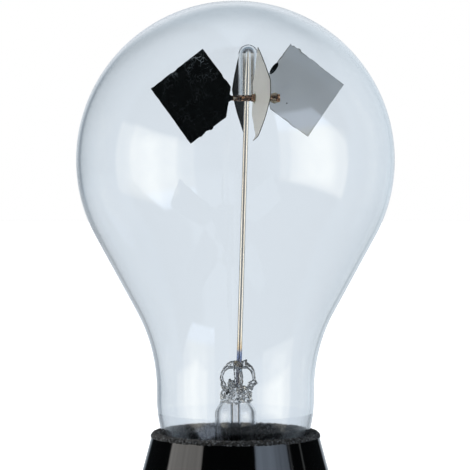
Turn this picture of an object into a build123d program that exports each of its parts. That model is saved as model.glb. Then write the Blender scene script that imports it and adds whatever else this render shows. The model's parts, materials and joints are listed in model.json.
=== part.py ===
from build123d import *

import os
from math import asin, cos, degrees, radians, sin, sqrt, tan

# Radiometer (light mill): a sealed glass bulb on a black base, and a four-vaned rotor on a needle.
#
# Frame: millimetres, +Z up, origin at the centre of the base's underside. -Y is the front.
# The rotor's axis is vertical and passes through the needle's point. The needle leans a
# little, so that axis stands to the +X side of the bulb's own axis.
#
# Pieces of the rotor are built at azimuth 0, pointing along +X, and then turned into place:
# "u" is the distance out from the rotor's axis, and "black side" is +Y before turning.

# ---------------------------------------------------------------- driving dimensions
# Glass bulb
BULB_RADIUS = 40.0
BULB_CENTRE_Z = 100.0
TAPER_ANGLE = 28.5  # of the bulb's side to the vertical, below the globe
NECK_RADIUS = 19.85
NECK_HOLLOW_RADIUS = 41.5  # of the concave curve between taper and neck
NECK_ROUND_RADIUS = 34.0  # of the convex curve that closes the neck in
NECK_ROUND_TOP_Z = 40.2
NECK_END_Z = 24.0
GLASS_WALL = 1.0
CROWN_EXTRA = 0.5  # how much lower the inner globe's centre is, which thickens the crown
SEAL_LIP_RADIUS = 0.9

# Glass stem inside the neck
STEM_RADIUS = 5.1
STEM_WALL = 1.0
FLARE_RADIUS = 6.0  # of the flare's middle line
FLARE_Z = 24.2
FLARE_RIM_RADIUS = 14.3
SHOULDER_Z = 36.7
STEM_TOP_Z = 39.2
STEM_TOP_RADIUS = 3.9
EXHAUST_RADIUS = 1.3
EXHAUST_BORE_RADIUS = 0.75
EXHAUST_TAPER_Z = 14.0
EXHAUST_TIP_Z = 9.0
VENT_RADIUS = 0.5
VENT_Z = 40.4
BORE_TOP_Z = 41.3
PRESS_SHOULDER_RADIUS = 3.7
PRESS_SHOULDER_Z = 41.6
PRESS_TOP_Z = 44.4

# Glass claw that holds the needle
CLAW_AXIS_X = 0.7
CLAW_COUNT = 4
CLAW_FIRST_AZIMUTH = 10.0
CLAW_ROD_RADIUS = 0.62
CLAW_ARC_RADIUS = 3.3
CLAW_ARC_CENTRE_U = 0.8
CLAW_ARC_CENTRE_Z = 45.4
CLAW_ARC_START = -62.0
BEAD_RADIUS = 1.35
BEAD_Z = 48.9

# Needle
TIP_X = 3.2
TIP_Z = 128.1
NEEDLE_LEAN = 1.65
NEEDLE_RADIUS = 0.66
NEEDLE_LENGTH = 86.0
NEEDLE_TAPER = 8.0
NEEDLE_TIP_RADIUS = 0.04

# Rotor
CAP_RADIUS = 2.45
CAP_WALL = 0.95
CAP_TOP_Z = 129.05
CAP_BOTTOM_Z = 114.9
TIP_GAP = 0.05  # between the needle's point and the cap
COLLAR_WALL = 0.38
COLLAR_HEIGHT = 1.5
HUB_Z = 115.6
ARM_THICKNESS = 0.35
ARM_HEIGHT = 1.25
ARM_END_U = 7.6
CURL_RADIUS = 0.5
CURL_HEIGHT = 1.9
GLUE_U = 5.7
GLUE_RADIUS = 1.2
GLUE_THICKNESS = 0.25
SHEET = 0.12
COAT = 0.06
VANE_BOW_RADIUS = 70.0  # top and bottom corners curl towards the bright side
INNER_CUT = 5.5  # leg of the cut that takes off the inner corner
TAB_ROOT_U = 6.5
TAB_ROOT_HALF = 1.0
TAB_END_U = 3.1
TAB_END_HALF = 0.25

# Each vane: azimuth, centre's u, centre's height over the arm, turn in its own plane, length
# of its upper outer side and lower outer side, leg of the cut on its outer corner, and twist
# about the arm, which leans its top to its black side.
VANES = (
    (11.5, 13.0, 2.0, 8.6, 17.2, 16.3, 0.0, -4.0),
    (98.9, 12.9, 0.7, 8.0, 16.8, 16.8, 0.0, -5.5),
    (191.5, 13.0, 0.4, 8.0, 16.5, 17.2, 0.0, -4.0),
    (283.6, 12.6, 0.9, 8.0, 16.4, 16.4, 3.2, -3.7),
)

# Base
RIM_RADIUS = 21.2
RIM_Z = 30.4
BASE_SLOPE = 15.0
BASE_WALL = 2.0
BASE_SWEEP_RADIUS = 10.0
FOOT_RADIUS = 37.5
FOOT_TOP_Z = 4.0
FOOT_ROUND = 1.5
MOUTH_RADIUS = 19.6
SHELF_TOP_Z = 22.5
SHELF_HEIGHT = 2.0
SHELF_HOLE_RADIUS = 12.5
CEMENT_TOP_Z = 25.5
CEMENT_RADIUS = 17.6
CEMENT_SETBACK = 0.7  # of the cement from the edge of the shelf's hole
PAD_HEIGHT = 0.8
PAD_RADIUS = 36.0
PLATE_HEIGHT = 2.0
PLATE_RADIUS = 33.0
PLATE_GAP = 0.1
SCREW_COUNT = 3
SCREW_CIRCLE_RADIUS = 24.0
BOSS_RADIUS = 3.0
SCREW_RADIUS = 1.25
SCREW_HEAD_RADIUS = 2.4
SCREW_HEAD_HEIGHT = 1.2
SCREW_LENGTH = 8.0
DRIVE_WIDTH = 0.5
DRIVE_DEPTH = 0.7
FOAM_LAP = 0.1  # how far the foam reaches over the rim's outer edge
FOAM_SHOULDER_IN = 0.6
FOAM_SHOULDER_RISE = 1.3
FOAM_CROWN_RADIUS = 17.8
FOAM_CROWN_Z = 32.5
FOAM_FOOT_RADIUS = 14.0


# ---------------------------------------------------------------- helpers
def ring_point(centre_x, centre_z, radius, angle):
    """A point on a circle of the X-Z half plane, at an angle in degrees from +X."""
    return (centre_x + radius * cos(radians(angle)), centre_z + radius * sin(radians(angle)))


def arc(centre_x, centre_z, radius, start, end):
    """The arc of that circle between two angles."""
    points = [ring_point(centre_x, centre_z, radius, a) for a in (start, (start + end) / 2, end)]
    return ThreePointArc(*points)


def turned(edges):
    """The solid that a closed outline in the X-Z half plane makes when it turns about Z."""
    return revolve(Plane.XZ * make_face(edges), Axis.Z)


def polygon(points):
    """The edges of a closed outline with straight sides."""
    return list(Polyline(*points, close=True).edges())


def washer(outer, inner, low, high):
    """A flat ring about Z. An inner radius of 0 gives a disc."""
    ring = Pos(0, 0, low) * extrude(Circle(outer), high - low)
    return ring - Pos(0, 0, low) * extrude(Circle(inner), high - low) if inner else ring


# ---------------------------------------------------------------- glass envelope
def bulb_outline(inset, centre_z):
    """From the crown to the neck's end: globe, taper, hollow and closing round, all tangent."""
    radius = BULB_RADIUS - inset
    neck = NECK_RADIUS - inset
    hollow = NECK_HOLLOW_RADIUS + inset
    rounding = NECK_ROUND_RADIUS - inset
    slope = radians(TAPER_ANGLE)
    globe_x, globe_z = ring_point(0, centre_z, radius, -TAPER_ANGLE)
    run = (globe_x - neck - hollow * (1 - cos(slope))) / sin(slope)
    hollow_z = globe_z - run * cos(slope) - hollow * sin(slope)
    close_angle = degrees(asin((NECK_ROUND_TOP_Z - NECK_END_Z) / rounding))
    globe = arc(0, centre_z, radius, 90, -TAPER_ANGLE)
    curve = arc(neck + hollow, hollow_z, hollow, 180 - TAPER_ANGLE, 180)
    end = arc(neck - rounding, NECK_ROUND_TOP_Z, rounding, 0, -close_angle)
    return [globe, Line(globe @ 1, curve @ 0), curve, Line(curve @ 1, end @ 0), end]


def filled_bulb():
    """The bulb's outside as one solid with no hollow."""
    outer = bulb_outline(0, BULB_CENTRE_Z)
    low, high = outer[-1] @ 1, outer[0] @ 0
    return turned(outer + [Line(low, (0, low.Y)), Line((0, low.Y), high)])


def seal_lip():
    """The fused bead that ends the neck, where the flare's rim meets it."""
    middle = (bulb_outline(0, BULB_CENTRE_Z)[-1] @ 1 + bulb_outline(GLASS_WALL, BULB_CENTRE_Z)[-1] @ 1) / 2
    return Pos(0, 0, middle.Y) * Torus(middle.X, SEAL_LIP_RADIUS)


def bulb_envelope():
    outer = bulb_outline(0, BULB_CENTRE_Z)
    inner = bulb_outline(GLASS_WALL, BULB_CENTRE_Z - CROWN_EXTRA)
    crown = Line(inner[0] @ 0, outer[0] @ 0)
    shell = turned(outer + [Line(outer[-1] @ 1, inner[-1] @ 1)] + inner + [crown])
    return shell + seal_lip()


# ---------------------------------------------------------------- glass stem
def stem_flare():
    """The flared tube: a flat rim, a curve, a straight tube and a shoulder."""
    half = STEM_WALL / 2
    middle = STEM_RADIUS - half
    curve_x, curve_z = middle + FLARE_RADIUS, FLARE_Z + FLARE_RADIUS
    upper = arc(curve_x, curve_z, FLARE_RADIUS - half, 270, 180)
    lower = arc(curve_x, curve_z, FLARE_RADIUS + half, 180, 270)
    top_inner = STEM_TOP_RADIUS - STEM_WALL
    outside = Polyline(
        upper @ 1, (STEM_RADIUS, SHOULDER_Z), (STEM_TOP_RADIUS, STEM_TOP_Z),
        (top_inner, STEM_TOP_Z), (STEM_RADIUS - STEM_WALL, SHOULDER_Z), lower @ 0,
    )
    edge_low, edge_high = (FLARE_RIM_RADIUS, FLARE_Z - half), (FLARE_RIM_RADIUS, FLARE_Z + half)
    rim = Polyline(lower @ 1, edge_low, edge_high, upper @ 0)
    return turned([upper, *outside.edges(), lower, *rim.edges()]) - seal_lip()


def exhaust_tube():
    """The pumping tube below the press, drawn out and sealed at its lower tip."""
    wall = EXHAUST_RADIUS - EXHAUST_BORE_RADIUS
    outside = polygon([
        (0, EXHAUST_TIP_Z), (wall, EXHAUST_TIP_Z + wall), (EXHAUST_RADIUS, EXHAUST_TAPER_Z),
        (EXHAUST_RADIUS, STEM_TOP_Z), (0, STEM_TOP_Z),
    ])
    bore = polygon([
        (0, EXHAUST_TIP_Z + 4 * wall), (EXHAUST_BORE_RADIUS, EXHAUST_TAPER_Z),
        (EXHAUST_BORE_RADIUS, STEM_TOP_Z), (0, STEM_TOP_Z),
    ])
    return turned(outside) - turned(bore)


def stem_press():
    """The fused glass that closes the stem and grips the needle's foot."""
    side = Line((STEM_TOP_RADIUS, STEM_TOP_Z), (PRESS_SHOULDER_RADIUS, PRESS_SHOULDER_Z))
    rise = PRESS_TOP_Z - PRESS_SHOULDER_Z
    radius = (PRESS_SHOULDER_RADIUS**2 + rise**2) / (2 * rise)
    dome = arc(0, PRESS_TOP_Z - radius, radius, degrees(asin((radius - rise) / radius)), 90)
    axis = Polyline(dome @ 1, (0, STEM_TOP_Z), side @ 0)
    body = turned([side, dome, *axis.edges()])
    bore = Pos(0, 0, STEM_TOP_Z) * extrude(Circle(EXHAUST_BORE_RADIUS), BORE_TOP_Z - STEM_TOP_Z)
    vent = Pos(0, 0, VENT_Z) * extrude(Plane.XZ * Circle(VENT_RADIUS), STEM_TOP_RADIUS + 1)
    return body - bore - vent - needle()


def claw_arm(azimuth):
    """One bent glass rod, from the press up and over to the bead."""
    path = Plane.XZ * CenterArc(
        (CLAW_ARC_CENTRE_U, CLAW_ARC_CENTRE_Z), CLAW_ARC_RADIUS, CLAW_ARC_START, 90 - CLAW_ARC_START,
    )
    rod = sweep((path ^ 0) * Circle(CLAW_ROD_RADIUS), path=path)
    placed = Pos(CLAW_AXIS_X, 0, 0) * Rot(0, 0, azimuth) * rod
    return placed - stem_press() - needle_bead() - needle()


def needle_bead():
    """The bead of glass fused round the needle where the claw closes on it."""
    bead_x = TIP_X - (TIP_Z - BEAD_Z) * tan(radians(NEEDLE_LEAN))
    return Pos(bead_x, 0, BEAD_Z) * Sphere(BEAD_RADIUS) - needle()


# ---------------------------------------------------------------- needle and rotor
def needle():
    """A round steel pin with a convex point, leaning towards +X."""
    shoulder = (NEEDLE_RADIUS, -NEEDLE_TAPER)
    bulge = (0.64 * NEEDLE_RADIUS, -NEEDLE_TAPER / 2)
    point = ThreePointArc(shoulder, bulge, (NEEDLE_TIP_RADIUS, 0))
    rest = Polyline(point @ 1, (0, 0), (0, -NEEDLE_LENGTH), (NEEDLE_RADIUS, -NEEDLE_LENGTH), shoulder)
    return Pos(TIP_X, 0, TIP_Z) * Rot(0, NEEDLE_LEAN, 0) * turned([point, *rest.edges()])


def rotor_cap():
    """The glass cup, closed at the top, whose hollow rests on the needle's point."""
    inner = CAP_RADIUS - CAP_WALL
    outer_z = CAP_TOP_Z - CAP_RADIUS
    inner_z = TIP_Z + TIP_GAP - inner
    outer_dome = arc(0, outer_z, CAP_RADIUS, 90, 0)
    inner_dome = arc(0, inner_z, inner, 0, 90)
    wall = Polyline(outer_dome @ 1, (CAP_RADIUS, CAP_BOTTOM_Z), (inner, CAP_BOTTOM_Z), inner_dome @ 0)
    section = [outer_dome, *wall.edges(), inner_dome, Line(inner_dome @ 1, outer_dome @ 0)]
    return Pos(TIP_X, 0, 0) * turned(section)


def hub_collar():
    """The metal band round the cup's lower end."""
    low = HUB_Z - COLLAR_HEIGHT / 2
    return Pos(TIP_X, 0, 0) * washer(CAP_RADIUS + COLLAR_WALL, CAP_RADIUS, low, low + COLLAR_HEIGHT)


def on_rotor(number, shape):
    """Twists a piece about its arm, turns it to its azimuth and puts it at the hub."""
    azimuth, twist = VANES[number][0], VANES[number][-1]
    return Pos(TIP_X, 0, HUB_Z) * Rot(0, 0, azimuth) * Rot(twist, 0, 0) * shape


def vane_outline(centre_u, centre_v, turn, upper, lower, outer_cut):
    """A square on its corner, its inner corner cut off, with a tab that tapers to the hub."""
    right, top = upper / 2, lower / 2
    points = [(right, top - outer_cut), (right - outer_cut, top)] if outer_cut else [(right, top)]
    points += [(-right, top), (-right, -top + INNER_CUT), (-right + INNER_CUT, -top), (right, -top)]
    plate = Pos(centre_u, centre_v) * Rot(0, 0, turn - 45) * make_face(polygon(points))
    tab = make_face(polygon([
        (TAB_ROOT_U, -TAB_ROOT_HALF), (TAB_ROOT_U, TAB_ROOT_HALF),
        (TAB_END_U, TAB_END_HALF), (TAB_END_U, -TAB_END_HALF),
    ]))
    return plate + tab


def bowed_sheet(number, low, high):
    """A layer of a vane, from low to high along its black side's normal, bowed about the arm."""
    _, *outline, _ = VANES[number]
    prism = extrude(Plane.XZ * vane_outline(*outline), 4 * CAP_RADIUS, both=True)
    length = 2 * BULB_RADIUS
    outer = Cylinder(VANE_BOW_RADIUS + high, length)
    inner = Cylinder(VANE_BOW_RADIUS + low, length)
    shell = Pos(0, -VANE_BOW_RADIUS, 0) * Rot(0, 90, 0) * (outer - inner)
    near_side = Box(length, VANE_BOW_RADIUS, length)
    return on_rotor(number, shell & near_side & prism)


def vane(number):
    return bowed_sheet(number, -SHEET / 2, SHEET / 2)


def vane_coat(number):
    return bowed_sheet(number, SHEET / 2, SHEET / 2 + COAT)


def vane_arm(number):
    """A metal strip on the vane's bright side, from the collar to a curled end."""
    face = -SHEET / 2
    length = ARM_END_U - CAP_RADIUS
    strip = Pos(CAP_RADIUS + length / 2, face - ARM_THICKNESS / 2, 0) * Box(length, ARM_THICKNESS, ARM_HEIGHT)
    curl = Pos(ARM_END_U, face - CURL_RADIUS, 0) * Cylinder(CURL_RADIUS, CURL_HEIGHT)
    core = Pos(TIP_X, 0, HUB_Z) * Cylinder(CAP_RADIUS + COLLAR_WALL, 4 * COLLAR_HEIGHT)
    return on_rotor(number, strip + curl) - core - vane(number)


def glue_spot(number):
    """The flat drop of glue round the arm, on the vane's bright side."""
    middle = -SHEET / 2 - GLUE_THICKNESS / 2
    drop = Pos(GLUE_U, middle, 0) * Rot(90, 0, 0) * Cylinder(GLUE_RADIUS, GLUE_THICKNESS + SHEET / 4)
    return on_rotor(number, drop) - vane_arm(number) - vane(number)


# ---------------------------------------------------------------- base
def sweep_centre():
    """The centre of the concave sweep between cone and foot, as (radius, height)."""
    slope = radians(BASE_SLOPE)
    sweep_z = FOOT_TOP_Z + BASE_SWEEP_RADIUS
    cone_end_z = sweep_z - BASE_SWEEP_RADIUS * sin(slope)
    sweep_x = RIM_RADIUS + (RIM_Z - cone_end_z) * tan(slope) + BASE_SWEEP_RADIUS * cos(slope)
    return sweep_x, sweep_z


def base_body():
    """The base's outside as one solid: cone, concave sweep and rounded foot."""
    flank = arc(*sweep_centre(), BASE_SWEEP_RADIUS, 180 + BASE_SLOPE, 270)
    edge = arc(FOOT_RADIUS - FOOT_ROUND, FOOT_TOP_Z - FOOT_ROUND, FOOT_ROUND, 90, 0)
    cone = Line((RIM_RADIUS, RIM_Z), flank @ 0)
    rest = Polyline(edge @ 1, (FOOT_RADIUS, PAD_HEIGHT), (0, PAD_HEIGHT), (0, RIM_Z), cone @ 0)
    return turned([cone, flank, Line(flank @ 1, edge @ 0), edge, *rest.edges()])


def base_cavity():
    """The hollow under the shelf, a wall's thickness inside the flank."""
    sweep_x, sweep_z = sweep_centre()
    floor_z = PAD_HEIGHT + PLATE_HEIGHT
    ceiling_z = SHELF_TOP_Z - SHELF_HEIGHT
    radius = BASE_SWEEP_RADIUS + BASE_WALL
    end_angle = 180 + degrees(asin((sweep_z - floor_z) / radius))
    flank = arc(sweep_x, sweep_z, radius, 180 + BASE_SLOPE, end_angle)
    top = flank @ 0
    ceiling_x = top.X - (ceiling_z - top.Y) * tan(radians(BASE_SLOPE))
    rest = Polyline(flank @ 1, (0, floor_z), (0, ceiling_z), (ceiling_x, ceiling_z), top)
    return turned([flank, *rest.edges()])


def base_shell():
    """The moulded base: a hollow bell with a shelf inside that the bulb's neck stands on."""
    floor_z = PAD_HEIGHT + PLATE_HEIGHT
    bosses = screw_places() * (Pos(0, 0, floor_z) * extrude(Circle(BOSS_RADIUS), RIM_Z))
    recess = washer(PLATE_RADIUS + PLATE_GAP, 0, PAD_HEIGHT, floor_z)
    mouth = washer(MOUTH_RADIUS, 0, SHELF_TOP_Z, RIM_Z)
    hole = washer(SHELF_HOLE_RADIUS, 0, SHELF_TOP_Z - SHELF_HEIGHT, SHELF_TOP_Z)
    return base_body() - (base_cavity() - bosses) - recess - mouth - hole - screw_places() * screw_blank()


def foam_collar():
    """The soft ring that fills the base's mouth round the neck and laps over the rim."""
    edge = (RIM_RADIUS + FOAM_LAP, RIM_Z)
    shoulder = (RIM_RADIUS - FOAM_SHOULDER_IN, RIM_Z + FOAM_SHOULDER_RISE)
    crown = ThreePointArc(edge, shoulder, (FOAM_CROWN_RADIUS, FOAM_CROWN_Z))
    foot = (FOAM_FOOT_RADIUS, CEMENT_TOP_Z)
    rest = Polyline(crown @ 1, foot, (MOUTH_RADIUS, CEMENT_TOP_Z), (MOUTH_RADIUS, RIM_Z), crown @ 0)
    return turned([crown, *rest.edges()]) - filled_bulb()


def cement_ring():
    """The bed of cement that bonds the neck's lip to the shelf."""
    bed = washer(CEMENT_RADIUS, SHELF_HOLE_RADIUS + CEMENT_SETBACK, SHELF_TOP_Z, CEMENT_TOP_Z)
    rim_room = washer(FLARE_RIM_RADIUS, 0, FLARE_Z - STEM_WALL / 2, CEMENT_TOP_Z)
    return bed - filled_bulb() - seal_lip() - rim_room


def screw_places():
    return PolarLocations(SCREW_CIRCLE_RADIUS, SCREW_COUNT, start_angle=90)


def screw_blank():
    """A countersunk screw without its drive, at the middle of the plate."""
    shank = Pos(0, 0, PAD_HEIGHT) * extrude(Circle(SCREW_RADIUS), SCREW_LENGTH)
    head = Cone(SCREW_HEAD_RADIUS, SCREW_RADIUS, SCREW_HEAD_HEIGHT)
    return shank + Pos(0, 0, PAD_HEIGHT + SCREW_HEAD_HEIGHT / 2) * head


def plate_screws():
    """The screws, up through the plate into the shell's bosses, each with a cross drive."""
    slot = Pos(0, 0, PAD_HEIGHT) * Box(2 * SCREW_RADIUS, DRIVE_WIDTH, 2 * DRIVE_DEPTH)
    screw = screw_blank() - slot - Rot(0, 0, 90) * slot
    return Compound(screw_places() * screw)


def bottom_plate():
    """The ballast plate that closes the base from below."""
    disc = washer(PLATE_RADIUS, 0, PAD_HEIGHT, PAD_HEIGHT + PLATE_HEIGHT)
    return disc - screw_places() * screw_blank()


def felt_pad():
    return washer(PAD_RADIUS, 0, 0, PAD_HEIGHT)


# ---------------------------------------------------------------- files
def nodes():
    """Every piece by its name."""
    made = {
        "bulb_envelope": bulb_envelope(),
        "stem_flare": stem_flare(),
        "exhaust_tube": exhaust_tube(),
        "stem_press": stem_press(),
        "needle_bead": needle_bead(),
        "needle": needle(),
        "rotor_cap": rotor_cap(),
        "hub_collar": hub_collar(),
        "foam_collar": foam_collar(),
        "base_shell": base_shell(),
        "cement_ring": cement_ring(),
        "bottom_plate": bottom_plate(),
        "plate_screws": plate_screws(),
        "felt_pad": felt_pad(),
    }
    for number in range(CLAW_COUNT):
        azimuth = CLAW_FIRST_AZIMUTH + number * 360 / CLAW_COUNT
        made[f"claw_arm_{number + 1}"] = claw_arm(azimuth)
    for number in range(len(VANES)):
        made[f"vane_{number + 1}"] = vane(number)
        made[f"vane_coat_{number + 1}"] = vane_coat(number)
        made[f"vane_arm_{number + 1}"] = vane_arm(number)
    made["glue_spots"] = Compound([glue_spot(number) for number in range(len(VANES))])
    return made


os.makedirs("parts", exist_ok=True)
for name, shape in nodes().items():
    export_step(shape, f"parts/{name}.step")
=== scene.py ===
"""Looks of the radiometer: glass bulb, melted claw, needle, four-vaned rotor and glossy base.

Blender metres, in the CAD model's frame. Sizes are millimetres times MM. Most repeat the model's
driving dimensions; a few thin glass walls don't, and say so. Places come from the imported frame.
"""

import json
import random
from math import asin, atan2, cos, degrees, pi, radians, sin, sqrt, tau

import bmesh
import bpy
from mathutils import Matrix, Vector, noise
from mathutils.geometry import delaunay_2d_cdt


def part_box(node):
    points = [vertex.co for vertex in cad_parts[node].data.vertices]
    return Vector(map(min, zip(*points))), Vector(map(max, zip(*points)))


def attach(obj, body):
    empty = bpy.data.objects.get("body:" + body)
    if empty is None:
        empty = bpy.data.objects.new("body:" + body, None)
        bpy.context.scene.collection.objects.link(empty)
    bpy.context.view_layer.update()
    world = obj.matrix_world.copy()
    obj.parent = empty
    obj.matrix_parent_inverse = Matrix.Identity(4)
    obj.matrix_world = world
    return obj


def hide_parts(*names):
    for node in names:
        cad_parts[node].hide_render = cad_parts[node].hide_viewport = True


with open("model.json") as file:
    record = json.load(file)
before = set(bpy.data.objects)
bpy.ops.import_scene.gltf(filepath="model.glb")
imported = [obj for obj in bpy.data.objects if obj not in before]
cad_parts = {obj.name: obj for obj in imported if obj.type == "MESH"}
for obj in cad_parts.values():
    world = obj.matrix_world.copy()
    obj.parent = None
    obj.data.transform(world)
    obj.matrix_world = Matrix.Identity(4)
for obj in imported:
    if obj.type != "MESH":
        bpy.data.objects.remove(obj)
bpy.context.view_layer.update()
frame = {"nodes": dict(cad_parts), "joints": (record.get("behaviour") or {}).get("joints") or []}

MM = 0.001
FOAM_GRAIN = 0.72 * MM

# ---- places from the frame
bulb_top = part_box("bulb_envelope")[1].z
rim_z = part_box("base_shell")[1].z
hub_low, hub_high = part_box("hub_collar")
cap_low, cap_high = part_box("rotor_cap")
press_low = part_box("stem_press")[0]
bead_low, bead_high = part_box("needle_bead")
flare_low, flare_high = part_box("stem_flare")
exhaust_tip_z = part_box("exhaust_tube")[0].z
collar_low, collar_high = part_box("foam_collar")

GLOBE = 40.0 * MM
GLOBE_Z = bulb_top - GLOBE
AXIS = Vector(frame["joints"][0]["pos_m"])
HUB = Vector((AXIS.x, AXIS.y, (hub_low.z + hub_high.z) / 2))


# ---- mesh helpers
def piece(name, points, faces, body, material, replaces=(), crease=180):
    """A smooth mesh, sharp where it bends by more than crease degrees, that rides on a body."""
    mesh = bpy.data.meshes.new(name)
    mesh.from_pydata([tuple(p) for p in points], [], faces)
    mesh.materials.append(material)
    made = bpy.data.objects.new(name, mesh)
    bpy.context.scene.collection.objects.link(made)
    outward(made)
    mesh.polygons.foreach_set("use_smooth", [True] * len(mesh.polygons))
    mesh.set_sharp_from_angle(angle=radians(crease))
    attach(made, body)
    if replaces:
        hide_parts(*replaces)
    return made


def outward(made):
    """Turns every face of a closed mesh outwards."""
    shape = bmesh.new()
    shape.from_mesh(made.data)
    bmesh.ops.recalc_face_normals(shape, faces=shape.faces)
    shape.to_mesh(made.data)
    shape.free()


def arc(centre_r, centre_z, radius, start, end, steps):
    """Points of an arc in a profile, as (radius, height), angles in degrees."""
    angles = [radians(start + (end - start) * i / steps) for i in range(steps + 1)]
    return [(centre_r + radius * cos(a), centre_z + radius * sin(a)) for a in angles]


def lathe(profile, segments, closed=False):
    """Turns a profile of (radius, height) about Z. Points on the axis become poles."""
    points, rings = [], []
    for r, z in profile:
        if r < 1e-7:
            rings.append([len(points)] * segments)
            points.append(Vector((0, 0, z)))
        else:
            rings.append(list(range(len(points), len(points) + segments)))
            turns = [tau * s / segments for s in range(segments)]
            points += [Vector((r * cos(turn), r * sin(turn), z)) for turn in turns]
    faces = []
    pairs = list(zip(rings, rings[1:]))
    if closed:
        pairs.append((rings[-1], rings[0]))
    for a, b in pairs:
        for s in range(segments):
            t = (s + 1) % segments
            face = [a[s], a[t], b[t], b[s]]
            face = [v for i, v in enumerate(face) if v != face[i - 1]]
            if len(face) > 2:
                faces.append(face)
    return points, faces


def joined(points, faces, more):
    """Adds another mesh to points and faces."""
    faces += [[i + len(points) for i in face] for face in more[1]]
    points += more[0]


def strip_faces(stations, sides):
    """Faces of a closed-ended strip or tube of sections, each with the same number of points."""
    faces = []
    for i in range(stations - 1):
        for s in range(sides):
            t = (s + 1) % sides
            faces.append([i * sides + s, i * sides + t, (i + 1) * sides + t, (i + 1) * sides + s])
    faces.append(list(range(sides))[::-1])
    faces.append([(stations - 1) * sides + s for s in range(sides)])
    return faces


def tube(path, radii, sides=16):
    """A round tube with closed ends along a path of points."""
    points = []
    side = Vector((0, 0, 1)).cross(path[1] - path[0])
    if side.length < 1e-9:
        side = Vector((1, 0, 0))
    for i, centre in enumerate(path):
        along = (path[min(i + 1, len(path) - 1)] - path[max(i - 1, 0)]).normalized()
        side = (side - along * side.dot(along)).normalized()
        up = along.cross(side)
        for s in range(sides):
            angle = tau * s / sides
            points.append(centre + radii[i] * (cos(angle) * side + sin(angle) * up))
    return points, strip_faces(len(path), sides)


def blend_step(low, high, value):
    """0 below low, 1 above high, smooth between."""
    t = min(max((value - low) / (high - low), 0), 1)
    return t * t * (3 - 2 * t)


def wobble(point, size, seed=0):
    """Smooth noise in -1..1 at a place, with features of about the given size."""
    return noise.noise(point / size + Vector((seed * 7.3, seed * 3.1, seed * 5.7)))


# ---- material helpers
class Paint:
    """A material with its Principled shader and short ways to add nodes to it."""

    def __init__(self, name, **sockets):
        self.material = bpy.data.materials.new(name)
        self.material.use_nodes = True
        self.tree = self.material.node_tree
        self.shader = self.tree.nodes["Principled BSDF"]
        self.place = self.add("ShaderNodeTexCoord").outputs["Object"]
        for key, value in sockets.items():
            self.shader.inputs[key.replace("_", " ").title().replace("Ior", "IOR")].default_value = value

    def add(self, kind, **settings):
        node = self.tree.nodes.new(kind)
        for key, value in settings.items():
            setattr(node, key, value)
        return node

    def link(self, source, target):
        self.tree.links.new(source, target)

    def noise(self, scale, detail=3.0, stretch=(1, 1, 1), roughness=0.5, distortion=0.0, place=None):
        """Noise whose features are about 1/scale metres."""
        mapping = self.add("ShaderNodeMapping")
        mapping.inputs["Scale"].default_value = stretch
        self.link(place or self.place, mapping.inputs["Vector"])
        texture = self.add("ShaderNodeTexNoise")
        values = {"Scale": scale, "Detail": detail, "Roughness": roughness, "Distortion": distortion}
        for key, value in values.items():
            texture.inputs[key].default_value = value
        self.link(mapping.outputs["Vector"], texture.inputs["Vector"])
        return texture.outputs["Fac"]

    def span(self, source, low, high, to_low=0.0, to_high=1.0, smooth=False):
        """Maps a value from low..high to to_low..to_high, held at both ends."""
        node = self.add("ShaderNodeMapRange", clamp=True)
        node.interpolation_type = "SMOOTHSTEP" if smooth else "LINEAR"
        for key, value in (("From Min", low), ("From Max", high), ("To Min", to_low), ("To Max", to_high)):
            node.inputs[key].default_value = value
        self.link(source, node.inputs["Value"])
        return node.outputs["Result"]

    def math(self, operation, a, b=None, c=None):
        node = self.add("ShaderNodeMath", operation=operation)
        for socket, value in zip(node.inputs, (a, b, c)):
            if isinstance(value, (int, float)):
                socket.default_value = value
            elif value is not None:
                self.link(value, socket)
        return node.outputs["Value"]

    def times(self, a, b):
        return self.math("MULTIPLY", a, b)

    def minus(self, a, b):
        return self.math("SUBTRACT", a, b)

    def ramp(self, source, *stops):
        """A colour ramp from (position, (r, g, b)) stops."""
        node = self.add("ShaderNodeValToRGB")
        elements = node.color_ramp.elements
        while len(elements) < len(stops):
            elements.new(0.5)
        for element, (position, colour) in zip(elements, stops):
            element.position = position
            element.color = (*colour, 1)
        self.link(source, node.inputs["Fac"])
        return node.outputs["Color"]

    def mix(self, factor, a, b):
        """Mixes two colours, each a tuple or a socket."""
        node = self.add("ShaderNodeMix", data_type="RGBA")
        self.link(factor, node.inputs["Factor"])
        for socket, value in ((node.inputs[6], a), (node.inputs[7], b)):
            if isinstance(value, tuple):
                socket.default_value = (*value, 1)
            else:
                self.link(value, socket)
        return node.outputs[2]

    def axes(self):
        node = self.add("ShaderNodeSeparateXYZ")
        self.link(self.place, node.inputs[0])
        return node.outputs

    def colour(self, source):
        self.link(source, self.shader.inputs["Base Color"])

    def rough(self, source):
        self.link(source, self.shader.inputs["Roughness"])

    def bump(self, height, distance):
        node = self.add("ShaderNodeBump")
        node.inputs["Distance"].default_value = distance
        self.link(height, node.inputs["Height"])
        self.link(node.outputs["Normal"], self.shader.inputs["Normal"])


# ---- materials
def glass(name, tint_low, tint_high, ripple, ripple_size, rough=0.0):
    """Clear glass with faint tint changes and shallow ripples from blowing."""
    paint = Paint(name, roughness=rough, ior=1.47, transmission_weight=1.0)
    paint.colour(paint.mix(paint.noise(40.0), tint_low, tint_high))
    paint.bump(paint.noise(1 / ripple_size, detail=1.0), ripple)
    return paint.material


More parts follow.
